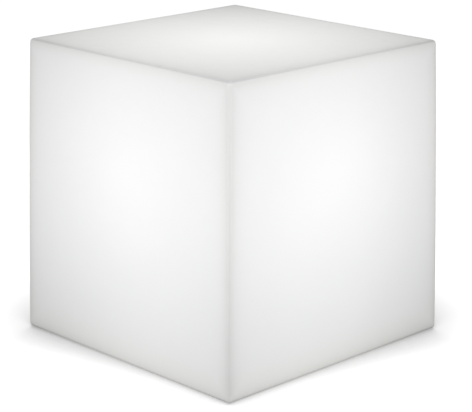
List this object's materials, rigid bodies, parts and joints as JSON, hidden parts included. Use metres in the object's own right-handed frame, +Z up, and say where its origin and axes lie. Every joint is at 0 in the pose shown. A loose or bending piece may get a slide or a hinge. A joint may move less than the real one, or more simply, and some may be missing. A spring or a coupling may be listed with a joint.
{
  "type": "cube light",
  "caption": "Glowing cube lamp: a hollow milky shade with rounded edges, and a battery light unit with a push button and a charging socket screwed into a recess in its base.",
  "frame": {"origin": "on the floor, under the middle of the cube", "axes": "+Z up; X and Y square to the faces, with the button and the charging socket on the X axis"},
  "size_m": [0.4, 0.4, 0.401],
  "materials": {
    "shade_milk": "satin",
    "insert_brass": "satin",
    "foot_rubber": "matte",
    "housing_plastic": "satin",
    "seal_silicone": "matte",
    "screw_steel": "satin",
    "button_plastic": "satin",
    "switch_plastic": "satin",
    "socket_plastic": "satin",
    "contact_nickel": "satin",
    "flap_silicone": "matte",
    "clear_plastic": "gloss",
    "vent_plastic": "satin",
    "board_green": "satin",
    "chip_black": "satin",
    "ferrite_grey": "matte",
    "capacitor_can": "satin",
    "connector_white": "satin",
    "tray_plastic": "satin",
    "cell_sleeve": "satin",
    "clamp_steel": "satin",
    "lead_insulation": "satin",
    "plate_aluminium": "satin",
    "led_board_white": "satin",
    "led_package": "satin",
    "dome_frosted": "matte"
  },
  "bodies": {
    "lamp": {"cube_shell": "shade_milk", "shell_inserts": "insert_brass", "rubber_feet": "foot_rubber", "housing": "housing_plastic", "housing_gasket": "seal_silicone", "housing_screws": "screw_steel", "screw_seals": "seal_silicone", "tact_switch": "switch_plastic", "charge_socket": "socket_plastic", "socket_pin": "contact_nickel", "socket_terminals": "contact_nickel", "socket_washer": "seal_silicone", "socket_nut": "contact_nickel", "flap_anchor": "flap_silicone", "indicator_lens": "clear_plastic", "indicator_led": "led_package", "vent_plug": "vent_plastic", "control_board": "board_green", "board_screws": "screw_steel", "driver_chip": "chip_black", "logic_chip": "chip_black", "power_inductor": "ferrite_grey", "capacitors": "capacitor_can", "battery_header": "connector_white", "battery_plug": "connector_white", "battery_tray": "tray_plastic", "tray_screws": "screw_steel", "battery_cells": "cell_sleeve", "cell_straps": "contact_nickel", "battery_clamp": "clamp_steel", "clamp_screws": "screw_steel", "battery_leads": "lead_insulation", "socket_leads": "lead_insulation", "led_leads": "lead_insulation", "led_plate": "plate_aluminium", "wire_grommet": "foot_rubber", "led_board": "led_board_white", "led_board_screws": "screw_steel", "leds": "led_package", "led_connector": "connector_white", "dome_gasket": "seal_silicone", "dome": "dome_frosted", "dome_screws": "screw_steel"},
    "power_button": {"button_cap": "button_plastic", "button_o_ring": "foot_rubber", "switch_plunger": "switch_plastic"},
    "charge_flap": {"socket_flap": "flap_silicone"}
  },
  "joints": [
    {"name": "button_press", "type": "slide", "parent": "lamp", "child": "power_button", "axis": [0, 0, 1], "range_m": [0, 0.001], "stiffness_N_per_m": 1500, "springref_m": -0.001},
    {"name": "flap_hinge", "type": "hinge", "parent": "lamp", "child": "charge_flap", "pos_m": [0.02896, 0.0108, 0.0205], "axis": [1, 0, 0], "range_deg": [0, 150]}
  ]
}
